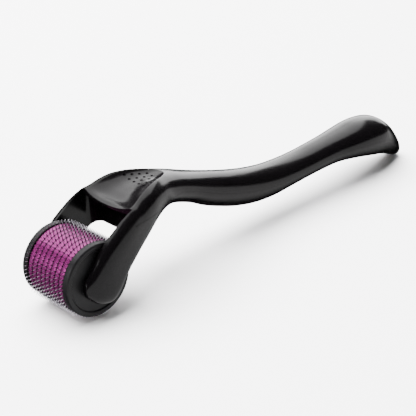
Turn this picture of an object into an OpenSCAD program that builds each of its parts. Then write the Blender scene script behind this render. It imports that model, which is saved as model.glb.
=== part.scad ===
// Hand-held derma roller: a needle drum spinning in a forked two-shell handle.
// Millimetres. +X runs from the drum to the tail of the handle, +Z is up, and the
// origin is under the middle of the roller, on the surface that it rests on.

/* [Drum] */
// Radius of a needle disc at its needle tips
disc_r = 10.9; // [8.5:0.1:14]
// Length of a needle, from the spacer rings' surface to its tip
needle_l = 1.2; // [0.4:0.1:2]
// Width of a needle at its base
needle_w = 0.3; // [0.2:0.05:0.7]
// Needles on one disc
needle_n = 60; // [24:4:72]
// Thickness of a needle disc
disc_t = 0.2; // [0.1:0.05:0.4]
// Number of needle discs
disc_n = 9; // [9]
// Thickness of a spacer ring
ring_t = 1.6; // [1:0.1:2.4]
// Thickness of an end flange at its rim
flange_t = 2.15; // [1.4:0.05:3]
// How far a flange's rim stands out past the spacer rings
flange_lip = 0.3; // [0:0.05:0.8]
// Radius of the keyed core that carries the discs
core_r = 3.6; // [3:0.1:4.6]
// Radius of the journals at the core's ends
journal_r = 1.5; // [1:0.1:2.2]

/* [Fork] */
// Thickness of a fork arm
arm_t = 3.05; // [2.4:0.05:4.5]
// Gap between a flange and the arm beside it
side_gap = 0.4; // [0.3:0.05:1]
// Depth of a journal's blind bore in its arm
bore_l = 2; // [1.2:0.1:2.2]
// Gap between the needle tips and the wall behind the drum
wall_gap = 4.4; // [2.5:0.1:8]

/* [Handle] */
// Reach of the handle, from the drum's axis to the tail's end
reach = 131.2; // [105:0.1:165]
// Width of the grip
grip_w = 10.8; // [8.5:0.1:14]
// Thickness of the grip at its belly
grip_t = 10.8; // [8.5:0.1:14]
// Width of the tail at its widest
tail_w = 14.8; // [11:0.1:20]
// Wall of the two shells
wall = 1.7; // [1.2:0.1:2.2]
// Depth of the thumb rest's hollow
dish_d = 2; // [0.8:0.1:2.6]
// Thickness of the thumb rest's lip
lip_t = 1.1; // [0.8:0.1:1.6]
// Radius of a dimple in the thumb rest
dimple_r = 0.42; // [0.2:0.02:0.7]
// Distance between neighbouring dimples in a row
dimple_pitch = 1.9; // [1.4:0.1:2.4]
// Radius of the pegs that join the shells
peg_r = 1.2; // [0.8:0.1:1.6]

/* [Fits] */
// Radial clearance of a journal in its bore
run_fit = 0.05; // [0.02:0.01:0.1]
// Clearance of the discs, rings and flanges on the core
key_fit = 0.05; // [0.02:0.01:0.1]
// Radial clearance of a peg in its socket
peg_fit = 0.05; // [0.02:0.01:0.15]

/* [Hidden] */
// Drum, from its middle outwards along Y
pitch = disc_t + ring_t;
stack_half = (disc_n * disc_t + (disc_n - 1) * ring_t) / 2;
drum_half = stack_half + flange_t;
ring_r = disc_r - needle_l;
needle_a = asin(needle_w / 2 / ring_r);
flange_r = ring_r + flange_lip;
key_w = 1.4;
key_h = 0.8;
key_count = 3;
hub_r = journal_r + 1.8;
hub_t = side_gap / 2;

// Fork
arm_in = drum_half + side_gap;
arm_out = arm_in + arm_t;
wall_x = disc_r + wall_gap;
corner_r = 3.5;
journal_half = arm_in + bore_l - 0.25;

// The outline is drawn for a drum of 10.9 mm and a reach of 131.2 mm, and follows
// both: the head grows with the drum, and the rest stretches with the reach.
design_disc_r = 10.9;
design_reach = 131.2;
neck_x = 34;
head_k = disc_r / design_disc_r;
stretch = (reach - neck_x * head_k) / (design_reach - neck_x);
function along(x) = x <= neck_x ? x * head_k : neck_x * head_k + (x - neck_x) * stretch;
design_belly_t = 10.8;
belly_k = grip_t / design_belly_t;

// One row per station of the body: distance from the drum's axis, height of the
// middle, half thickness, half width, squareness of the upper and lower half
// (2 is an ellipse, more is boxier). Both arms are one wide section here, and the
// drum's room is cut out of it.
outline = [
    [-5.5,  -0.6,  0.8, arm_out - 1.7, 6, 6],
    [-5.1,  -0.6,  2.0, arm_out - 1.55, 6, 6],
    [-4.3,  -0.6,  3.0, arm_out - 1.3, 7, 6],
    [-3,    -0.7,  4.4, arm_out - 0.9, 8, 6],
    [-1.5,  -0.4,  5.9, arm_out - 0.5, 8, 6],
    [0,      0.3,  7.2, arm_out - 0.2, 8, 6],
    [2,      1.25, 8.1, arm_out, 8, 7],
    [4,      2.8,  8.1, arm_out, 8, 8],
    [6,      4.8,  7.5, arm_out - 0.1, 7, 8],
    [8,      6.8,  6.9, arm_out - 0.25, 6.5, 8],
    [10,     8.3,  6.5, arm_out - 0.45, 6, 8],
    [12,     9.5,  6.2, arm_out - 0.75, 5.5, 7],
    [14,    10.4,  5.8, arm_out - 1.1, 5, 6],
    [17,    11.8,  5.6, arm_out - 1.7, 4.6, 4.5],
    [20,    12.85, 5.3, arm_out - 2.5, 4.0, 3.4],
    [24,    13.35, 4.95, arm_out - 4.0, 3.2, 2.7],
    [28,    13.0,  4.65, arm_out - 5.6, 2.6, 2.4],
    [31,    12.35, 4.5, grip_w / 2 + 1.15, 2.4, 2.3],
    [34,    11.4,  4.5, grip_w / 2 + 0.65, 2.3, 2.2],
    [39,     9.4,  4.6 * belly_k, grip_w / 2 + 0.15, 2.2, 2.2],
    [44,     7.15, 5.05 * belly_k, grip_w / 2, 2.2, 2.2],
    [50,     4.9,  5.3 * belly_k, grip_w / 2, 2.2, 2.2],
    [56,     2.95, 5.4 * belly_k, grip_w / 2, 2.2, 2.2],
    [63,     1.3,  5.25 * belly_k, grip_w / 2, 2.2, 2.2],
    [70,     0.45, 4.85 * belly_k, grip_w / 2, 2.2, 2.2],
    [77,     0.4,  4.3 * belly_k, grip_w / 2, 2.2, 2.2],
    [84,     0.6,  4.0 * belly_k, grip_w / 2, 2.2, 2.2],
    [91,     0.95, 4.05 * belly_k, grip_w / 2 + 0.1, 2.2, 2.2],
    [98,     1.2,  4.3 * belly_k, grip_w / 2 + 0.45, 2.2, 2.2],
    [104,    1.1,  4.95 * belly_k, tail_w / 2 - 0.8, 2.2, 2.2],
    [110,    0.8,  5.8 * belly_k, tail_w / 2 - 0.15, 2.2, 2.2],
    [115,    0.15, 6.3 * belly_k, tail_w / 2, 2.2, 2.2],
    [119,   -0.75, 6.3 * belly_k, tail_w / 2 - 0.4, 2.2, 2.2],
    [123,   -2.8,  5.6 * belly_k, tail_w / 2 - 1.4, 2.2, 2.2],
    [126,   -5.0,  4.6 * belly_k, tail_w / 2 - 2.6, 2.2, 2.2],
    [128.5, -7.0,  3.6 * belly_k, tail_w / 2 - 3.8, 2.2, 2.2],
    [130.3, -8.5,  2.35 * belly_k, tail_w / 2 - 5.0, 2.2, 2.2],
    [131.2, -9.2,  1.1 * belly_k, tail_w / 2 - 6.3, 2.2, 2.2]
];
rows = [for (r = outline) [along(r[0]), r[1] * head_k, r[2], r[3], r[4], r[5]]];
last_row = len(rows) - 1;

// A smooth curve through one column of the rows: cubic pieces whose slope at each
// row is that of the line between its two neighbours.
function slope(c, i) =
    let (a = rows[max(i - 1, 0)], b = rows[min(i + 1, last_row)])
    (b[c] - a[c]) / (b[0] - a[0]);
function piece(x, i = 0) = i < last_row - 1 && x > rows[i + 1][0] ? piece(x, i + 1) : i;
function at(x, c) =
    let (
        i = piece(x),
        step = rows[i + 1][0] - rows[i][0],
        t = (x - rows[i][0]) / step
    )
    rows[i][c] * (1 + 2 * t) * pow(1 - t, 2)
    + slope(c, i) * step * t * pow(1 - t, 2)
    + rows[i + 1][c] * t * t * (3 - 2 * t)
    - slope(c, i + 1) * step * t * t * (1 - t);

// The thumb rest: a hollow that narrows from the lip to a rounded rear end. It has a
// flat floor and steep sides, and fades out at the rear. It starts just in front of
// the lip's edge.
dish_x0 = along(12);
dish_x1 = along(30.5);
lip_bow = 1;
dish_w0 = arm_out - 3.6;
dish_w1 = 3.4;
lip_share = 0.5;
side_power = 3.2;
rear_power = 5;
function dish_t(x) = min(max((x - dish_x0) / (dish_x1 - dish_x0), 0), 1);
function dish_w(x) = dish_w0 + (dish_w1 - dish_w0) * dish_t(x);
function dish(x, y) = x < dish_x0 - 2 * lip_bow ? 0 :
    let (deepening = lip_share + (1 - lip_share) * sin(180 * min(dish_t(x), 0.5)))
    dish_d * deepening * max(0, 1 - pow(abs(y) / dish_w(x), side_power) - pow(dish_t(x), rear_power));

// A section of the body at x, shrunk all round by inset: points at equal angles
// round a superellipse, starting at the top and going towards +Y.
function ring_point(x, angle, inset) =
    let (
        n = abs(angle) <= 90 ? at(x, 4) : at(x, 5),
        r = pow(pow(abs(cos(angle)), n) + pow(abs(sin(angle)), n), -1 / n),
        y = (at(x, 3) - inset) * r * sin(angle),
        z = at(x, 1) + (at(x, 2) - inset) * r * cos(angle)
    )
    [x, y, z - (abs(angle) < 90 ? dish(x, y) : 0)];
function top_z(x, y) =
    let (n = at(x, 4))
    at(x, 1) + at(x, 2) * pow(1 - pow(abs(y) / at(x, 3), n), 1 / n) - dish(x, y);

// A closed skin over the sections at xs
module loft(xs, sides, inset) {
    angles = [for (j = [0:sides - 1]) -180 + 360 * (j + 0.5) / sides];
    points = [for (x = xs) for (a = angles) ring_point(x, a, inset)];
    m = len(xs);
    polyhedron(points, concat(
        [[for (j = [sides - 1:-1:0]) j]],
        [for (i = [0:m - 2]) for (j = [0:sides - 1])
            let (k = (j + 1) % sides, a = i * sides, b = a + sides)
            each [[a + j, b + k, b + j], [a + j, a + k, b + k]]],
        [[for (j = [0:sides - 1]) (m - 1) * sides + j]]
    ));
}
// Stations of the outer skin, close together at both ends and in the head
function eased(a, b, n) = [for (i = [0:n - 1]) a + (b - a) * (1 - cos(90 * i / n))];
head_front = along(-5.5);
skin_x = concat(
    eased(head_front, along(3), 8),
    [for (i = [0:19]) along(3 + 1.5 * i)],
    [for (i = [0:19]) along(33 + 4 * i)],
    [for (i = [0:11]) along(113) + (reach - along(113)) * sin(90 * i / 11)]
);
cavity_x0 = wall_x + wall;
cavity_x1 = along(124.5);
cavity_x = [for (i = [0:26]) cavity_x0 + (cavity_x1 - cavity_x0) * i / 26];

// Height of the joint between the shells: level through the head, then along the
// widest line of the grip
seam_head_z = 12 * head_k;
seam_front_x = dish_x0 - lip_bow;
function seam_z(x) = x < along(28) ? seam_head_z : min(seam_head_z, at(x, 1));
seam_x = concat([seam_front_x, along(28)], [for (i = [1:24]) along(28) + (reach - along(28)) * i / 24]);

// Resting height of the drum's axis
body_low = min([for (r = rows) r[1] - r[2]]);
drop = max(disc_r, -body_low);
centre_x = (reach - disc_r) / 2;
far = 60;
peg_x = [along(38), along(62), along(88), along(112)];
peg_l = 2.4;
boss_t = 1;
tiny = 0.01;

// Puts what is drawn round the drum's axis into the object's own frame
module placed() translate([-centre_x, 0, drop]) children();

// All that is above the seam
module above_seam() {
    rotate([90, 0, 0])
        linear_extrude(2 * far, center = true)
            polygon(concat(
                [for (x = seam_x) [x, seam_z(x)]],
                [[reach + 5, seam_z(reach)], [reach + 5, far], [seam_front_x, far]]
            ));
}

// The drum's room between the arms, seen from above, with its rear corners rounded
module room_plan() {
    translate([-far, -arm_in])
        square([far + wall_x - corner_r, 2 * arm_in]);
    translate([-far, corner_r - arm_in])
        square([far + wall_x, 2 * (arm_in - corner_r)]);
    for (s = [-1, 1])
        translate([wall_x - corner_r, s * (arm_in - corner_r)])
            circle(r = corner_r, $fn = 64);
}
module drum_room() {
    linear_extrude(2 * far, center = true)
        room_plan();
}
// The part of that room that the cover leaves free: all under its lip, and all in
// front of the lip's edge, which is bowed forward in plan
module lip_room() {
    room_top = top_z(dish_x0, 0) - lip_t;
    bow_r = (pow(arm_in, 2) + pow(lip_bow, 2)) / (2 * lip_bow);
    intersection() {
        drum_room();
        union() {
            rotate([90, 0, 0])
                linear_extrude(2 * arm_out, center = true)
                    polygon([
                        [-far, 0],
                        [wall_x + 1, 0],
                        [wall_x + 1, room_top - 2.2],
                        [wall_x - 1.2, room_top],
                        [-far, room_top]
                    ]);
            difference() {
                translate([-far, -arm_out, 1])
                    cube([far + dish_x0, 2 * arm_out, far]);
                translate([dish_x0 - lip_bow + bow_r, 0, 0])
                    cylinder(r = bow_r, h = 2 * far, $fn = 96);
            }
        }
    }
}

module dimples() {
    for (row = [0:3])
        for (i = [0:5 - row])
            let (x = along(21.9) + row * dimple_pitch * 0.95, y = (i - (5 - row) / 2) * dimple_pitch)
            translate([x, y, top_z(x, y) + dimple_r * 0.25])
                sphere(r = dimple_r, $fn = 24);
}

// Two three-cornered pockets under the lip, in the cross wall's front, with a web
// left between them
pocket_w = 6.6;
pocket_web = 2.2;
pocket_h = 2.6;
pocket_end_h = 0.9;
pocket_low_y = 2.6;
pocket_t = 0.8;
pocket_skin = 0.4;
module lip_pockets() {
    top = seam_head_z - pocket_skin;
    for (s = [-1, 1])
        rotate([90, 0, 90])
            translate([0, 0, wall_x - tiny])
                linear_extrude(pocket_t + tiny)
                    polygon([
                        [s * pocket_web / 2, top],
                        [s * pocket_w, top],
                        [s * pocket_w, top - pocket_end_h],
                        [s * pocket_low_y, top - pocket_h]
                    ]);
}

// The hollow inside the shells, with solid columns left where the pegs are
module cavity() {
    difference() {
        loft(cavity_x, 20, wall);
        for (x = peg_x)
            translate([x, 0, -far])
                cylinder(r = peg_r + boss_t, h = 2 * far, $fn = 32);
    }
}
// The pegs on the cover, which their sockets in the body repeat with a clearance
module pegs(extra) {
    for (x = peg_x)
        translate([x, 0, seam_z(x) - peg_l - extra])
            cylinder(r = peg_r + extra, h = peg_l + extra + wall, $fn = 32);
}

module fork_body() placed() color([0.07, 0.065, 0.075]) {
    difference() {
        difference() {
            loft(skin_x, 36, 0);
            above_seam();
        }
        drum_room();
        cavity();
        lip_pockets();
        pegs(peg_fit);
        for (s = [-1, 1])
            translate([0, s * (arm_in + bore_l / 2), 0])
                rotate([90, 0, 0])
                    cylinder(r = journal_r + run_fit, h = bore_l + tiny, center = true, $fn = 48);
    }
}

module top_cover() placed() color([0.07, 0.065, 0.075]) {
    pegs(0);
    difference() {
        intersection() {
            loft(skin_x, 36, 0);
            above_seam();
        }
        lip_room();
        cavity();
        dimples();
    }
}

// A round piece's middle with its keyways
module keyed(r, extra) {
    circle(r = r + extra, $fn = 64);
    for (i = [0:key_count - 1])
        rotate(i * 360 / key_count)
            translate([0, -key_w / 2 - extra])
                square([r + key_h + extra, key_w + 2 * extra]);
}

module drum_core() placed() color([0.16, 0.16, 0.17])
    rotate([90, 0, 0]) {
        linear_extrude(2 * (stack_half + flange_t - 0.6), center = true)
            keyed(core_r, 0);
        cylinder(r = journal_r, h = 2 * journal_half, center = true, $fn = 48);
    }

// One disc: each needle is a triangle on the disc's edge
module needle_disc(i) placed() color([0.78, 0.79, 0.82])
    translate([0, (i - (disc_n + 1) / 2) * pitch, 0])
        rotate([90, 0, 0])
            linear_extrude(disc_t, center = true)
                difference() {
                    polygon([for (j = [0:needle_n - 1]) for (k = [-1:1])
                        let (r = k == 0 ? disc_r : ring_r, a = j * 360 / needle_n + k * needle_a)
                        [r * cos(a), r * sin(a)]]);
                    keyed(core_r, key_fit);
                }

module spacer_ring(i) placed() color([0.6, 0.14, 0.5])
    translate([0, (i - disc_n / 2) * pitch, 0])
        rotate([90, 0, 0])
            linear_extrude(ring_t, center = true)
                difference() {
                    circle(r = ring_r, $fn = 128);
                    keyed(core_r, key_fit);
                }

// A flange with its rim outwards: a dished outer face round a raised hub
module end_flange(side) placed() color([0.1, 0.1, 0.11])
    rotate([side > 0 ? -90 : 90, 0, 0])
        difference() {
            translate([0, 0, stack_half])
                rotate_extrude($fn = 128)
                    polygon([
                        [0, 0], [flange_r - 0.2, 0], [flange_r, 0.2],
                        [flange_r, flange_t - 0.5], [flange_r - 0.5, flange_t],
                        [flange_r - 1.3, flange_t], [flange_r - 1.6, flange_t - 0.35],
                        [hub_r + 0.6, flange_t - 0.35], [hub_r, flange_t + hub_t],
                        [0, flange_t + hub_t]
                    ]);
            cylinder(r = journal_r + key_fit, h = far, $fn = 48);
            linear_extrude(stack_half + flange_t - 0.6 + key_fit)
                keyed(core_r, key_fit);
        }

fork_body();
top_cover();
drum_core();
end_flange(-1);  // near_end_flange
end_flange(1);  // far_end_flange
for (i = [1:disc_n])
    needle_disc(i);
for (i = [1:disc_n - 1])
    spacer_ring(i);
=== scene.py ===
import bmesh
import bpy
import numpy as np
from mathutils import Matrix, Vector


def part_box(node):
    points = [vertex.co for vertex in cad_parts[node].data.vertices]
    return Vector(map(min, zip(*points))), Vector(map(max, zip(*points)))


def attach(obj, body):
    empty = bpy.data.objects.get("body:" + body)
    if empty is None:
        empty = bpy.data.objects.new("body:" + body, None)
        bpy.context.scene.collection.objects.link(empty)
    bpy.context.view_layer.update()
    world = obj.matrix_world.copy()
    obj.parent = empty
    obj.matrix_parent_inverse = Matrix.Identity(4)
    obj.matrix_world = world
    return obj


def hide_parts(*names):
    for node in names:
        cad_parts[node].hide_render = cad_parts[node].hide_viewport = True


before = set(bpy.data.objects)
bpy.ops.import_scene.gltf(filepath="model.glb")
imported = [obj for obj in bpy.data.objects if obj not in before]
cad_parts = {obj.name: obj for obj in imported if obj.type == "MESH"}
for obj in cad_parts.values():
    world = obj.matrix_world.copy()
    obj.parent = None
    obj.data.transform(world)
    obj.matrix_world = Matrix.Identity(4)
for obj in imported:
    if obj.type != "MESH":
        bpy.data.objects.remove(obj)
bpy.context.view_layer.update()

scene = bpy.context.scene
mm = 0.001

# The camera and the pieces are laid out in millimetres round the drum's axis, then placed here
axisPoint = (Vector(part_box("needle_disc_5")[0]) + Vector(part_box("needle_disc_5")[1])) / 2


def placed(points):
    return np.asarray(points, float) * mm + np.array(axisPoint)


# Camera and studio
camera = {"azimuth": -42.68, "elevation": 26.2, "roll": -2.5, "lens": 103.85, "sensor": 36,
          "distance": 307.72, "right": 33.89, "up": 15.36, "nearest": 10}


def makeCamera():
    azimuth, elevation, roll = np.radians([camera["azimuth"], camera["elevation"], camera["roll"]])
    ahead = np.array([np.sin(azimuth), -np.cos(azimuth), 0.0])
    back = np.cos(elevation) * ahead + np.array([0.0, 0.0, np.sin(elevation)])
    side = np.array([np.cos(azimuth), np.sin(azimuth), 0.0])
    top = np.cross(back, side)
    right = np.cos(roll) * side + np.sin(roll) * top
    up = np.cos(roll) * top - np.sin(roll) * side
    place = placed(camera["distance"] * back + camera["right"] * right + camera["up"] * up)
    data = bpy.data.cameras.new("studioCamera")
    data.lens = camera["lens"]
    data.sensor_width = camera["sensor"]
    data.clip_start = camera["nearest"] * mm
    eye = bpy.data.objects.new("studioCamera", data)
    eye.matrix_world = Matrix(np.vstack([np.column_stack([right, up, back, place]), [0, 0, 0, 1]]).tolist())
    scene.collection.objects.link(eye)
    scene.camera = eye


makeCamera()
print("camera set")

# Places in the studio are in millimetres from the point on the floor under the roller's middle
studio = {"world": (0.30, 0.30, 0.31), "worldPower": 0.25,
          "backdrop": (0.90, 0.90, 0.91), "backdropPower": 2.6,
          "floorColor": (0.90, 0.895, 0.90), "floorRoughness": 0.75, "floorSize": 4000,
          "glow": 2.6, "glowBehind": 0.02, "glowFrom": -4, "glowTo": -19,
          "leftGlow": 0.5, "leftGlowFrom": -80, "leftGlowTo": -100, "aimHeight": 12,
          "washAt": (-60, 300, 800), "washSize": (1300, 1000), "washPower": 75,
          "keyAt": (160, 430, 740), "keySize": (1300, 900), "keyPower": 22,
          "backAt": (1150, 680, 360), "backSize": (1200, 620), "backPower": 17.0,
          "fillAt": (-560, 230, 210), "fillSize": (340, 240), "fillPower": 2.4}


def nodesOf(owner):
    owner.use_nodes = True
    return owner.node_tree.nodes, owner.node_tree.links


# One shader for most rays and another for the kind of ray that is named
def blendByRay(nodes, links, rayKind, usual, forThatRay, surface):
    ray = nodes.new("ShaderNodeLightPath")
    blend = nodes.new("ShaderNodeMixShader")
    links.new(ray.outputs[rayKind], blend.inputs["Fac"])
    links.new(usual, blend.inputs[1])
    links.new(forThatRay, blend.inputs[2])
    links.new(blend.outputs["Shader"], surface)


# A dim room, which is as pale as the floor where the camera looks past the floor's edge
def makeRoom():
    world = bpy.data.worlds.new("studioWorld")
    scene.world = world
    nodes, links = nodesOf(world)
    background = nodes["Background"]
    background.inputs["Color"].default_value = (*studio["world"], 1)
    background.inputs["Strength"].default_value = studio["worldPower"]
    backdrop = nodes.new("ShaderNodeBackground")
    backdrop.inputs["Color"].default_value = (*studio["backdrop"], 1)
    backdrop.inputs["Strength"].default_value = studio["backdropPower"]
    blendByRay(nodes, links, "Is Camera Ray", background.outputs["Background"],
               backdrop.outputs["Background"], nodes["World Output"].inputs["Surface"])


# A soft panel turned towards the roller, which glossy surfaces mirror or not
def softbox(panel, inGloss=True):
    data = bpy.data.lights.new(panel + "Panel", "AREA")
    data.shape = "RECTANGLE"
    data.size, data.size_y = [side * mm for side in studio[panel + "Size"]]
    data.energy = studio[panel + "Power"]
    lamp = bpy.data.objects.new(panel + "Panel", data)
    lamp.location = Vector(studio[panel + "At"]) * mm
    target = Vector((0, 0, studio["aimHeight"] * mm))
    lamp.rotation_mode = "QUATERNION"
    lamp.rotation_quaternion = (target - lamp.location).to_track_quat("-Z", "Y")
    lamp.visible_glossy = inGloss
    scene.collection.objects.link(lamp)


# The brightness along one axis: from nearly none to full, eased at both ends
def glowAlong(nodes, links, split, axis, low, high, full):
    fade = nodes.new("ShaderNodeMapRange")
    fade.interpolation_type = "SMOOTHSTEP"
    fade.inputs["From Min"].default_value = studio[low] * mm
    fade.inputs["From Max"].default_value = studio[high] * mm
    fade.inputs["To Min"].default_value = studio["glowBehind"]
    fade.inputs["To Max"].default_value = studio[full]
    links.new(split.outputs[axis], fade.inputs["Value"])
    return fade.outputs["Result"]


# Pale paper. Glossy surfaces see it as a glow in front and at the drum's side, nearly
# black behind, and the glow is the larger of the two
def makePaper():
    paper = bpy.data.materials.new("palePaper")
    nodes, links = nodesOf(paper)
    matte = nodes["Principled BSDF"]
    matte.inputs["Base Color"].default_value = (*studio["floorColor"], 1)
    matte.inputs["Roughness"].default_value = studio["floorRoughness"]
    coordinate = nodes.new("ShaderNodeTexCoord")
    split = nodes.new("ShaderNodeSeparateXYZ")
    links.new(coordinate.outputs["Object"], split.inputs["Vector"])
    brighter = nodes.new("ShaderNodeMath")
    brighter.operation = "MAXIMUM"
    front = glowAlong(nodes, links, split, "Y", "glowFrom", "glowTo", "glow")
    left = glowAlong(nodes, links, split, "X", "leftGlowFrom", "leftGlowTo", "leftGlow")
    links.new(front, brighter.inputs[0])
    links.new(left, brighter.inputs[1])
    glow = nodes.new("ShaderNodeEmission")
    links.new(brighter.outputs["Value"], glow.inputs["Strength"])
    blendByRay(nodes, links, "Is Glossy Ray", matte.outputs["BSDF"],
               glow.outputs["Emission"], nodes["Material Output"].inputs["Surface"])
    return paper


def makeFloor():
    half = studio["floorSize"] / 2 * mm
    corners = [(-half, -half, 0), (half, -half, 0), (half, half, 0), (-half, half, 0)]
    mesh = bpy.data.meshes.new("studioFloor")
    mesh.from_pydata(corners, [], [(0, 1, 2, 3)])
    mesh.materials.append(makePaper())
    floor = bpy.data.objects.new("studioFloor", mesh)
    scene.collection.objects.link(floor)


makeRoom()
softbox("wash", inGloss=False)
for panel in ("key", "back", "fill"):
    softbox(panel)
makeFloor()
print("studio lit")


# Materials: every one is worked out from the Object coordinates, in metres
polish = {"specular": 0.13, "coatRoughness": 0.08}


def shaderOf(name, metallic=0.0, coat=0.0):
    material = bpy.data.materials.new(name)
    nodes, links = nodesOf(material)
    shader = nodes["Principled BSDF"]
    shader.inputs["Metallic"].default_value = metallic
    shader.inputs["Coat Weight"].default_value = coat
    shader.inputs["Coat Roughness"].default_value = polish["coatRoughness"]
    shader.inputs["Specular IOR Level"].default_value = polish["specular"]
    place = nodes.new("ShaderNodeTexCoord").outputs["Object"]
    return material, nodes, links, shader, place


def noiseOn(nodes, links, vector, scale, detail=2.0, roughness=0.5):
    noise = nodes.new("ShaderNodeTexNoise")
    noise.inputs["Scale"].default_value = scale
    noise.inputs["Detail"].default_value = detail
    noise.inputs["Roughness"].default_value = roughness
    links.new(vector, noise.inputs["Vector"])
    return noise


def rampOn(nodes, links, value, low, high, fromMin=0.3, fromMax=0.7):
    ramp = nodes.new("ShaderNodeMapRange")
    ramp.inputs["From Min"].default_value = fromMin
    ramp.inputs["From Max"].default_value = fromMax
    ramp.inputs["To Min"].default_value = low
    ramp.inputs["To Max"].default_value = high
    links.new(value, ramp.inputs["Value"])
    return ramp


def mixOn(nodes, links, factor, dark, light):
    mix = nodes.new("ShaderNodeMix")
    mix.data_type = "RGBA"
    mix.inputs["A"].default_value = (*dark, 1)
    mix.inputs["B"].default_value = (*light, 1)
    links.new(factor, mix.inputs["Factor"])
    return mix


def bumpOn(nodes, links, shader, height, distance):
    bump = nodes.new("ShaderNodeBump")
    bump.inputs["Distance"].default_value = distance
    links.new(height, bump.inputs["Height"])
    links.new(bump.outputs["Normal"], shader.inputs["Normal"])


glossPlastic = {"dark": (0.0011, 0.0009, 0.0011), "light": (0.0022, 0.0019, 0.0022),
                "roughness": (0.15, 0.22), "cloud": 60, "smear": 240, "peel": 900, "peelDepth": 0.0000015}


def makeGlossPlastic():
    material, nodes, links, shader, place = shaderOf("glossBlackPlastic")
    cloud = noiseOn(nodes, links, place, glossPlastic["cloud"], 3)
    tint = mixOn(nodes, links, cloud.outputs["Fac"], glossPlastic["dark"], glossPlastic["light"])
    links.new(tint.outputs["Result"], shader.inputs["Base Color"])
    smear = noiseOn(nodes, links, place, glossPlastic["smear"], 4, 0.6)
    gloss = rampOn(nodes, links, smear.outputs["Fac"], *glossPlastic["roughness"])
    links.new(gloss.outputs["Result"], shader.inputs["Roughness"])
    peel = noiseOn(nodes, links, place, glossPlastic["peel"], 1)
    bumpOn(nodes, links, shader, peel.outputs["Fac"], glossPlastic["peelDepth"])
    return material


satinPlastic = {"dark": (0.0028, 0.0027, 0.0030), "light": (0.0050, 0.0047, 0.0053),
                "roughness": (0.34, 0.46), "cloud": 320, "grain": 5200, "grainDepth": 0.000006}


def makeSatinPlastic():
    material, nodes, links, shader, place = shaderOf("satinBlackPlastic")
    cloud = noiseOn(nodes, links, place, satinPlastic["cloud"], 3)
    tint = mixOn(nodes, links, cloud.outputs["Fac"], satinPlastic["dark"], satinPlastic["light"])
    links.new(tint.outputs["Result"], shader.inputs["Base Color"])
    gloss = rampOn(nodes, links, cloud.outputs["Fac"], *satinPlastic["roughness"])
    links.new(gloss.outputs["Result"], shader.inputs["Roughness"])
    grain = noiseOn(nodes, links, place, satinPlastic["grain"], 2)
    bumpOn(nodes, links, shader, grain.outputs["Fac"], satinPlastic["grainDepth"])
    return material


pearl = {"deep": (0.055, 0.004, 0.038), "bright": (0.225, 0.024, 0.145), "roughness": (0.22, 0.34),
         "metallic": 0.75, "coat": 0.05, "fleck": 6500, "turnPitch": 0.0012, "turnDepth": 0.000003}


def makePearl():
    material, nodes, links, shader, place = shaderOf("purplePearl", pearl["metallic"], pearl["coat"])
    fleck = noiseOn(nodes, links, place, pearl["fleck"], 2)
    spread = rampOn(nodes, links, fleck.outputs["Fac"], 0.0, 1.0, 0.35, 0.65)
    tint = mixOn(nodes, links, spread.outputs["Result"], pearl["deep"], pearl["bright"])
    links.new(tint.outputs["Result"], shader.inputs["Base Color"])
    gloss = rampOn(nodes, links, fleck.outputs["Fac"], *pearl["roughness"])
    links.new(gloss.outputs["Result"], shader.inputs["Roughness"])
    # turning marks round the ring: a sine along Y alone, whose bands repeat every 0.314 / scale
    turn = nodes.new("ShaderNodeTexWave")
    turn.wave_type = "BANDS"
    turn.bands_direction = "Y"
    turn.inputs["Scale"].default_value = 0.314 / pearl["turnPitch"]
    links.new(place, turn.inputs["Vector"])
    bumpOn(nodes, links, shader, turn.outputs["Fac"], pearl["turnDepth"])
    return material


# dark and light are the sheet's own tone; the pale tip colour is a painted glint on the needles' tips
steel = {"dark": (0.006, 0.005, 0.006), "light": (0.03, 0.026, 0.03), "tip": (0.62, 0.58, 0.64),
         "tipFrom": 9.9, "tipTo": 10.6, "roughness": (0.26, 0.40), "etch": 3000, "etchDepth": 0.000004}


# Etched sheet in its own dark tone, with a painted glint that brightens it towards the needles' tips: the
# distance from the drum's axis is the length of the Object coordinate's part across that axis
def makeSteel():
    material, nodes, links, shader, place = shaderOf("etchedSteel", metallic=1.0)
    etch = noiseOn(nodes, links, place, steel["etch"], 3)
    sheet = mixOn(nodes, links, etch.outputs["Fac"], steel["dark"], steel["light"])
    offset = nodes.new("ShaderNodeVectorMath")
    offset.operation = "SUBTRACT"
    offset.inputs[1].default_value = tuple(axisPoint)
    links.new(place, offset.inputs[0])
    across = nodes.new("ShaderNodeVectorMath")
    across.operation = "MULTIPLY"
    across.inputs[1].default_value = (1, 0, 1)
    links.new(offset.outputs["Vector"], across.inputs[0])
    radius = nodes.new("ShaderNodeVectorMath")
    radius.operation = "LENGTH"
    links.new(across.outputs["Vector"], radius.inputs[0])
    # painted glint: between these distances from the axis the colour brightens from the sheet's tone to the
    # pale tip colour
    tipFrom, tipTo = steel["tipFrom"] * mm, steel["tipTo"] * mm
    tipShare = rampOn(nodes, links, radius.outputs["Value"], 0.0, 1.0, tipFrom, tipTo)
    tint = mixOn(nodes, links, tipShare.outputs["Result"], steel["dark"], steel["tip"])
    links.new(sheet.outputs["Result"], tint.inputs["A"])  # the sheet's own tint below the tips
    links.new(tint.outputs["Result"], shader.inputs["Base Color"])
    gloss = rampOn(nodes, links, etch.outputs["Fac"], *steel["roughness"])
    links.new(gloss.outputs["Result"], shader.inputs["Roughness"])
    bumpOn(nodes, links, shader, etch.outputs["Fac"], steel["etchDepth"])
    return material


glossBlack, satinBlack = makeGlossPlastic(), makeSatinPlastic()
purplePearl, etchedSteel = makePearl(), makeSteel()
print("materials made")


# Mesh helpers
past = {"front": -30, "side": 12, "low": -40, "high": 40, "lipLow": -5, "bowLow": 1}  # reach of the cutters


def meshPiece(name, points, faces):
    mesh = bpy.data.meshes.new(name)
    mesh.from_pydata(placed(points).tolist(), [], [list(f) for f in faces])
    mesh.update()
    piece = bpy.data.objects.new(name, mesh)
    scene.collection.objects.link(piece)
    return piece


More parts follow.
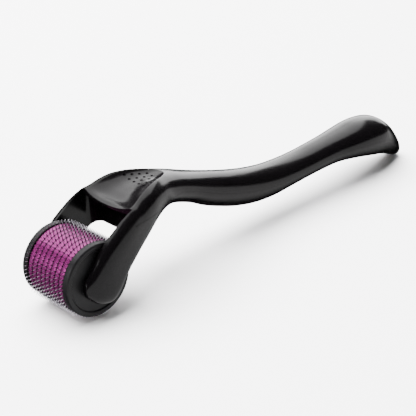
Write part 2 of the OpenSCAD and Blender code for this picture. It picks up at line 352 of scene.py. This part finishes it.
# Quads between neighbouring rings of a closed tube, with both ends capped
def tubeFaces(rings, count):
    i, j = np.meshgrid(np.arange(rings - 1), np.arange(count), indexing="ij")
    k = (j + 1) % count
    here, after = i * count, (i + 1) * count
    quads = np.stack([here + j, after + j, after + k, here + k], -1).reshape(-1, 4)
    firstCap, lastCap = list(range(count)), list(range(rings * count - 1, (rings - 1) * count - 1, -1))
    return quads.tolist() + [firstCap, lastCap]


def outward(piece):
    shape = bmesh.new()
    shape.from_mesh(piece.data)
    bmesh.ops.recalc_face_normals(shape, faces=shape.faces)
    shape.to_mesh(piece.data)
    shape.free()


# A flat outline pushed along one axis: x, y outline along z, or x, z along y, or y, z along x
def prism(name, outline, low, high, along):
    outline = np.asarray(outline, float)
    n = len(outline)
    ends = [np.column_stack([outline, np.full(n, v)]) for v in (low, high)]
    order = {"z": [0, 1, 2], "y": [0, 2, 1], "x": [2, 0, 1]}[along]
    points = np.vstack(ends)[:, order]
    faces = [[a, (a + 1) % n, (a + 1) % n + n, a + n] for a in range(n)]
    faces += [list(range(n))[::-1], list(range(n, 2 * n))]
    piece = meshPiece(name, points, faces)
    outward(piece)
    return piece


# Cuts one piece with another, or keeps only what they share
def carve(piece, cutter, operation="DIFFERENCE"):
    cut = piece.modifiers.new("carve", "BOOLEAN")
    cut.operation = operation
    cut.solver = "MANIFOLD"
    cut.object = cutter
    graph = bpy.context.evaluated_depsgraph_get()
    carved = bpy.data.meshes.new_from_object(piece.evaluated_get(graph))
    piece.modifiers.clear()
    piece.data = carved
    bpy.data.objects.remove(cutter)


# Smooth, but for the edges whose faces turn by more than the angle, in degrees
def shade(piece, angle=32):
    piece.data.shade_smooth()
    piece.data.set_sharp_from_angle(angle=np.radians(angle))


def finishPiece(piece, body, slotName, material, *nodes):
    piece.data.materials.clear()
    piece.data.materials.append(material)
    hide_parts(*nodes)
    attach(piece, body)


# Handle
handle = {"armIn": 9.85, "armOut": 12.9, "gripWidth": 10.8, "tailWidth": 14.8,
          "wallX": 15.3, "cornerRadius": 3.5, "headEnd": 28, "seamZ": 12.0, "seamGap": 0.03,
          "dishFront": 12.0, "dishRear": 30.5, "dishFrontWidth": 9.3, "dishRearWidth": 3.4,
          "dishDepth": 2.0, "lipShare": 0.5, "sidePower": 3.2, "rearPower": 5,
          "lipBow": 1.0, "lipThickness": 1.1, "underLipDrop": 2.2, "underLipRun": 1.2,
          "pocketWidth": 6.6, "pocketWeb": 2.2, "pocketHeight": 2.6, "pocketEndHeight": 0.9,
          "pocketLowAt": 2.6, "pocketDepth": 0.8, "pocketSkin": 0.4,
          "dimpleRadius": 0.42, "dimplePitch": 1.9, "dimpleRowPitch": 1.805, "dimpleFrom": 21.9,
          "dimpleRows": 4, "dimpleFirstRow": 6, "dimpleSink": 0.25,
          "nose": -5.5, "noseRound": -5.1, "tailRound": 130.3, "tail": 131.2,
          "sides": 200, "coverSides": 180, "flatSides": 12}
armOut, grip, wide = handle["armOut"], handle["gripWidth"] / 2, handle["tailWidth"] / 2

# Stations of the outer skin: distance from the drum's axis, height of the middle, half
# thickness, half width, squareness of the upper and lower half across, and of the
# upper half upwards
stations = np.array([
    (-5.5, -0.6, 0.8, armOut - 1.7, 6, 6, 4), (-5.1, -0.6, 2.0, armOut - 1.55, 7, 6, 4),
    (-4.3, -0.6, 3.0, armOut - 1.3, 8, 6, 3.6), (-3, -0.7, 4.4, armOut - 0.9, 10, 6, 3.2),
    (-1.5, -0.4, 5.9, armOut - 0.5, 12, 6, 3), (0, 0.3, 7.2, armOut - 0.2, 12, 6, 2.8),
    (2, 1.25, 8.1, armOut, 15, 7, 2.7), (4, 2.8, 8.1, armOut, 15, 8, 2.6),
    (6, 4.8, 7.5, armOut - 0.1, 14, 8, 2.6),
    (8, 6.8, 6.9, armOut - 0.25, 12, 8, 2.6), (10, 8.3, 6.5, armOut - 0.45, 11, 8, 2.6),
    (12, 9.5, 6.2, armOut - 0.75, 10, 7, 2.6), (14, 10.4, 5.8, armOut - 1.1, 8.5, 6, 2.5),
    (17, 11.8, 5.6, armOut - 1.7, 6.5, 4.5, 2.5), (20, 12.85, 5.3, armOut - 2.5, 5.2, 3.4, 2.5),
    (24, 13.35, 4.95, armOut - 4.0, 3.7, 2.7, 2.4), (28, 13.0, 4.65, armOut - 5.6, 2.8, 2.4, 2.3),
    (31, 12.35, 4.5, grip + 1.15, 2.5, 2.3, 2.25), (34, 11.4, 4.5, grip + 0.65, 2.35, 2.3, 2.2),
    (39, 9.4, 4.6, grip + 0.15, 2.25, 2.2, 2.2), (44, 7.15, 5.05, grip, 2.2, 2.2, 2.2),
    (50, 4.9, 5.3, grip, 2.2, 2.2, 2.2),
    (56, 2.95, 5.4, grip, 2.2, 2.2, 2.2), (63, 1.3, 5.25, grip, 2.2, 2.2, 2.2),
    (70, 0.45, 4.85, grip, 2.2, 2.2, 2.2), (77, 0.4, 4.3, grip, 2.2, 2.2, 2.2),
    (84, 0.6, 4.0, grip, 2.2, 2.2, 2.2), (91, 0.95, 4.05, grip + 0.1, 2.2, 2.2, 2.2),
    (98, 1.2, 4.3, grip + 0.45, 2.2, 2.2, 2.2), (104, 1.1, 4.95, wide - 0.8, 2.2, 2.2, 2.2),
    (110, 0.8, 5.8, wide - 0.15, 2.2, 2.2, 2.2), (115, 0.15, 6.3, wide, 2.2, 2.2, 2.2),
    (119, -0.75, 6.3, wide - 0.4, 2.2, 2.2, 2.2), (123, -2.8, 5.6, wide - 1.4, 2.2, 2.2, 2.2),
    (126, -5.0, 4.6, wide - 2.6, 2.2, 2.2, 2.2), (128.5, -7.0, 3.6, wide - 3.8, 2.2, 2.2, 2.2),
    (130.3, -8.5, 2.35, wide - 5.0, 2.2, 2.2, 2.2), (131.2, -9.2, 1.1, wide - 6.3, 2.2, 2.2, 2.2)])


# A smooth curve through each column: cubic pieces whose slope at a station is that of
# the line between its two neighbours
def sectionAt(x):
    x = np.atleast_1d(x)
    at, values = stations[:, 0], stations[:, 1:]
    before = np.maximum(np.arange(len(at)) - 1, 0)
    after = np.minimum(np.arange(len(at)) + 1, len(at) - 1)
    slope = (values[after] - values[before]) / (at[after] - at[before])[:, None]
    i = np.clip(np.searchsorted(at, x) - 1, 0, len(at) - 2)
    step = (at[i + 1] - at[i])[:, None]
    t = (x - at[i])[:, None] / step
    return (values[i] * (1 + 2 * t) * (1 - t) ** 2 + slope[i] * step * t * (1 - t) ** 2
            + values[i + 1] * t * t * (3 - 2 * t) - slope[i + 1] * step * t * t * (1 - t))


# The thumb rest's hollow, with t from 0 at its front to 1 at its rear: its depth is
# deepening * (1 - |y / width|^side power - t^rear power), and deepening is a sine up to
# the middle
def dishAt(x, y):
    t = np.clip((x - handle["dishFront"]) / (handle["dishRear"] - handle["dishFront"]), 0, 1)
    width = handle["dishFrontWidth"] + (handle["dishRearWidth"] - handle["dishFrontWidth"]) * t
    deepening = handle["lipShare"] + (1 - handle["lipShare"]) * np.sin(np.pi * np.minimum(t, 0.5))
    fading = 1 - np.abs(y / width) ** handle["sidePower"] - t ** handle["rearPower"]
    hollow = handle["dishDepth"] * deepening * np.maximum(0, fading)
    return np.where(x < handle["dishFront"] - 2 * handle["lipBow"], 0, hollow)


# The skin's height: middle + thick * (1 - |y / half|^across)^(1 / up), less the hollow
def topAt(x, y):
    middle, thick, half, across, _, up = sectionAt(x).T
    return middle + thick * (1 - (np.abs(y) / half) ** across) ** (1 / up) - dishAt(x, y)


# How much of its thickness the skin keeps near its two ends: a quarter of a circle
def rounding(x, start, end):
    return np.sqrt(np.clip(1 - np.clip((x - start) / (end - start), 0, 1) ** 2, 0.0004, 1))


def skinSections(x):
    middle, thick, half, upper, lower, up = sectionAt(x).T
    noseEnd = rounding(x, handle["noseRound"], handle["nose"])
    tailEnd = rounding(x, handle["tailRound"], handle["tail"])
    return middle, thick * noseEnd * tailEnd, half * tailEnd, upper, lower, up


# Points round a superellipse at each x. The angle is 0 above the middle and grows towards
# +Y, and the radius r solves (r sin)^across + (r cos)^up = 1, by Newton's steps from outside
def skinPoints(x, angle):
    middle, thick, half, upper, lower, up = [c[:, None] for c in skinSections(x)]
    c, s = np.cos(angle), np.sin(angle)
    across = np.where(c >= 0, upper, lower)
    up = np.where(c >= 0, up, lower)
    u, v = np.abs(s), np.abs(c)
    r = np.broadcast_to(1 / np.maximum(u, v), across.shape).copy()
    for _ in range(14):
        r -= ((r * u) ** across + (r * v) ** up - 1) / (across * (r * u) ** across + up * (r * v) ** up) * r
    y = half * r * s
    z = middle + thick * r * c
    xs = np.broadcast_to(x[:, None], y.shape)
    return np.stack([xs, y, z - np.where(c > 0, dishAt(xs, y), 0)], -1)


# Level through the head, then along the grip's widest line wherever that is lower
def seamHeight(x):
    middle = sectionAt(x)[:, 0]
    return np.where(x < handle["headEnd"], handle["seamZ"], np.minimum(handle["seamZ"], middle))


# The angle at which the skin crosses the seam's height
def seamAngle(x, level):
    middle, thick, half, upper, lower, up = skinSections(x)
    c = np.clip((level - middle) / thick, -0.98, 0.98)
    across, up = np.where(c >= 0, upper, lower), np.where(c >= 0, up, lower)
    return np.arctan2((1 - np.abs(c) ** up) ** (1 / across), c)


# Steps that start small and grow, as one minus a cosine does
def eased(low, high, count):
    return low + (high - low) * (1 - np.cos(np.linspace(0, np.pi / 2, count, endpoint=False)))


# Where the skin is sampled past a given length: finely at the nose, over the head and at the tail
def stationsFrom(low):
    headStart, gripStart, tailStart = -3, 34, 126
    tailEnd = tailStart + (handle["tail"] - tailStart) * np.sin(np.linspace(0, np.pi / 2, 26))
    lengths = np.concatenate([eased(handle["nose"], headStart, 14), np.arange(headStart, gripStart, 0.3),
                              np.arange(gripStart, tailStart, 0.8), tailEnd])
    return lengths[lengths > low]


# The whole skin as rings of points, cut off at the seam behind the lip's front edge
def makeForkBody():
    front = handle["dishFront"] - handle["lipBow"]
    gap = handle["seamGap"] / 2
    x = stationsFrom(handle["nose"] - 1)
    x = np.sort(np.concatenate([x[np.abs(x - front) > 0.1], [front - gap - 0.001, front - gap]]))
    sides = handle["sides"]
    angle = np.linspace(-np.pi, np.pi, sides, endpoint=False)
    points = skinPoints(x, np.broadcast_to(angle, (len(x), sides)))
    # there, all that would be above the seam is laid flat on it
    level = seamHeight(x) - gap
    behind = x >= front - gap
    limit = seamAngle(x, level)
    for i in np.flatnonzero(behind):
        inside = np.abs(angle) < limit[i]
        edge = skinPoints(x[i:i + 1], np.array([[limit[i]]]))[0, 0, 1]
        points[i, inside, 1] = edge * angle[inside] / limit[i]
        points[i, inside, 2] = level[i]
    return meshPiece("forkBody", points.reshape(-1, 3), tubeFaces(len(x), sides))


# The skin's share above the seam: at each x the angle runs from one crossing to the other
def makeThumbCover():
    front = handle["dishFront"] - handle["lipBow"] + handle["seamGap"] / 2
    x = np.concatenate([[front], stationsFrom(front + 0.1)])
    level = seamHeight(x) + handle["seamGap"] / 2
    limit = seamAngle(x, level)
    over = np.linspace(-1, 1, handle["coverSides"])
    points = skinPoints(x, limit[:, None] * over[None, :])
    # the flat underside closes each section
    under = np.linspace(0.9, -0.9, handle["flatSides"])
    edge = points[:, -1, 1]
    across = edge[:, None] * under[None, :]
    flat = np.stack([np.broadcast_to(x[:, None], across.shape), across,
                     np.broadcast_to(level[:, None], across.shape)], -1)
    rings = np.concatenate([points, flat], 1)
    return meshPiece("thumbCover", rings.reshape(-1, 3), tubeFaces(len(x), rings.shape[1]))


# The plan of the space between the arms, which runs out past the nose
def roomPlan():
    inner, wall, radius = handle["armIn"], handle["wallX"], handle["cornerRadius"]
    turn = np.radians(np.linspace(0, 90, 24))
    arcCentre = np.array([wall - radius, inner - radius])
    farCorner = arcCentre + radius * np.column_stack([np.cos(turn), np.sin(turn)])
    nearCorner = farCorner[::-1] * [1, -1]
    return np.vstack([[(past["front"], -inner)], nearCorner, farCorner, [(past["front"], inner)]])


# The part of that space under the lip, whose roof slopes down to the wall
def makeLipRoom():
    roof = topAt(np.array([handle["dishFront"]]), 0.0)[0] - handle["lipThickness"]
    front, wall = past["front"] + 1, handle["wallX"]
    room = prism("lipRoom", roomPlan(), past["lipLow"], past["high"], "z")
    outline = [(front, 0), (wall + 1, 0), (wall + 1, roof - handle["underLipDrop"]),
               (wall - handle["underLipRun"], roof), (front, roof)]
    under = prism("underLip", outline, -past["side"], past["side"], "y")
    carve(room, under, "INTERSECT")
    return room


# Cuts the lip's front edge to a bow: its reach falls off as the square of the distance across
def makeBowCutter():
    front, inner, bow = past["front"] + 1, handle["armIn"], handle["lipBow"]
    y = np.linspace(-inner, inner, 61)
    edge = handle["dishFront"] - bow * (1 - (y / inner) ** 2)
    outline = np.vstack([[(front, -inner)], np.column_stack([edge, y]), [(front, inner)]])
    return prism("lipEdge", outline, past["bowLow"], past["high"], "z")


# One of the two three-cornered pockets under the lip, beside the wall's middle web
def makePocket(side):
    wall, top = handle["wallX"], handle["seamZ"] - handle["pocketSkin"]
    inner, outer = side * handle["pocketWeb"] / 2, side * handle["pocketWidth"]
    low = side * handle["pocketLowAt"]
    outline = [(inner, top), (outer, top), (outer, top - handle["pocketEndHeight"]),
               (low, top - handle["pocketHeight"])]
    return prism("lipPocket", outline, wall - 0.1, wall + handle["pocketDepth"], "x")


# Shallow pits in staggered rows, one fewer in each, and each a ball sunk into the hollow's floor
def makeDimples():
    radius, pitch, first = handle["dimpleRadius"], handle["dimplePitch"], handle["dimpleFirstRow"]
    centres = []
    for row in range(handle["dimpleRows"]):
        x = handle["dimpleFrom"] + row * handle["dimpleRowPitch"]
        centres += [(x, (i - (first - 1 - row) / 2) * pitch) for i in range(first - row)]
    turns, belts = 20, 12
    polar = np.linspace(0, np.pi, belts + 1)[1:-1]
    around = np.linspace(0, 2 * np.pi, turns, endpoint=False)
    ball = np.stack([np.outer(np.cos(polar), np.ones(turns)), np.outer(np.sin(polar), np.cos(around)),
                     np.outer(np.sin(polar), np.sin(around))], -1)
    ball = ball.reshape(-1, 3) * radius
    points, faces = [], []
    for x, y in centres:
        z = topAt(np.array([x]), y)[0] + radius * handle["dimpleSink"]
        faces += [[v + len(points) * len(ball) for v in f] for f in tubeFaces(belts - 1, turns)]
        points.append(ball + [x, y, z])
    piece = meshPiece("dimples", np.vstack(points), faces)
    outward(piece)
    return piece


forkBody = makeForkBody()
carve(forkBody, prism("drumRoom", roomPlan(), past["low"], past["high"], "z"))
for side in (-1, 1):
    carve(forkBody, makePocket(side))
print("fork body", len(forkBody.data.polygons))
thumbCover = makeThumbCover()
carve(thumbCover, makeLipRoom())
carve(thumbCover, makeBowCutter())
carve(thumbCover, makeDimples())
print("thumb cover", len(thumbCover.data.polygons))
for piece, node in ((forkBody, "fork_body"), (thumbCover, "top_cover")):
    shade(piece)
    finishPiece(piece, "handle", "handle_plastic", glossBlack, node)


# Drum
drum = {"discs": 9, "discThickness": 0.2, "ringThickness": 1.6, "ringRadius": 9.7, "ringFillet": 0.12,
        "coreRadius": 4.5, "flangeThickness": 2.15, "flangeLip": 0.3, "flangeBore": 1.6,
        "faceEdge": 1.3, "faceRun": 0.3, "faceDepth": 0.35,
        "hubRadius": 3.3, "hubHeight": 0.2, "hubRun": 0.6, "turns": 192}


# A profile of radius and distance along Y, turned round the drum's axis
def lathe(name, profile, turns):
    profile = np.asarray(profile, float)
    n = len(profile)
    around = np.linspace(0, 2 * np.pi, turns, endpoint=False)
    points = np.stack([np.outer(np.cos(around), profile[:, 0]), np.broadcast_to(profile[:, 1], (turns, n)),
                       np.outer(np.sin(around), profile[:, 0])], -1)
    i, j = np.meshgrid(np.arange(turns), np.arange(n), indexing="ij")
    k, m = (i + 1) % turns, (j + 1) % n
    quads = np.stack([i * n + j, k * n + j, k * n + m, i * n + m], -1).reshape(-1, 4)
    piece = meshPiece(name, points.reshape(-1, 3), quads.tolist())
    outward(piece)
    return piece


# A closed outline with each corner turned into an arc of the given radius
def filleted(corners, radii, steps=5):
    corners = np.asarray(corners, float)
    result = []
    for i, radius in enumerate(radii):
        here, last, following = corners[i], corners[i - 1], corners[(i + 1) % len(corners)]
        a = (last - here) / np.linalg.norm(last - here)
        b = (following - here) / np.linalg.norm(following - here)
        if radius == 0:
            result.append(here)
            continue
        half = np.arccos(np.clip(a @ b, -1, 1)) / 2
        reach = radius / np.tan(half)
        centre = here + (a + b) / np.linalg.norm(a + b) * radius / np.sin(half)
        start, end = here + a * reach - centre, here + b * reach - centre
        for t in np.linspace(0, 1, steps):
            d = start * (1 - t) + end * t
            result.append(centre + d / np.linalg.norm(d) * radius)
    return np.array(result)


def makeRings():
    pitch = drum["discThickness"] + drum["ringThickness"]
    half, outer, inner = drum["ringThickness"] / 2, drum["ringRadius"], drum["coreRadius"]
    corners = [(inner, -half), (outer, -half), (outer, half), (inner, half)]
    profile = filleted(corners, [0, drum["ringFillet"], drum["ringFillet"], 0])
    for i in range(1, drum["discs"]):
        ring = lathe(f"spacerRing{i}", profile + [0, (i - drum["discs"] / 2) * pitch], drum["turns"])
        shade(ring, 40)
        finishPiece(ring, "drum", "ring_plastic", purplePearl, f"spacer_ring_{i}")


# A flange starts at half the stack's width, and its face is sunk between its rim and hub
def makeFlange(name, side, node):
    half = (drum["discs"] * drum["discThickness"] + (drum["discs"] - 1) * drum["ringThickness"]) / 2
    rim, thick, bore = drum["ringRadius"] + drum["flangeLip"], drum["flangeThickness"], drum["flangeBore"]
    hub, hubTop = drum["hubRadius"], thick + drum["hubHeight"]
    face, faceStart = thick - drum["faceDepth"], rim - drum["faceEdge"]
    corners = [(bore, 0), (rim, 0), (rim, thick), (faceStart, thick), (faceStart - drum["faceRun"], face),
               (hub + drum["hubRun"], face), (hub, hubTop), (bore, hubTop)]
    profile = filleted(corners, [0, 0.2, 0.45, 0.12, 0.12, 0.2, 0.15, 0])
    flange = lathe(name, (profile + [0, half]) * [1, side], drum["turns"])
    shade(flange, 40)
    finishPiece(flange, "drum", "flange_plastic", satinBlack, node)


def coatNode(node, material):
    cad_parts[node].data.materials.clear()
    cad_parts[node].data.materials.append(material)


makeRings()
makeFlange("nearFlange", -1, "near_end_flange")
makeFlange("farFlange", 1, "far_end_flange")
for i in range(1, drum["discs"] + 1):
    coatNode(f"needle_disc_{i}", etchedSteel)
coatNode("drum_core", satinBlack)
print("drum made")
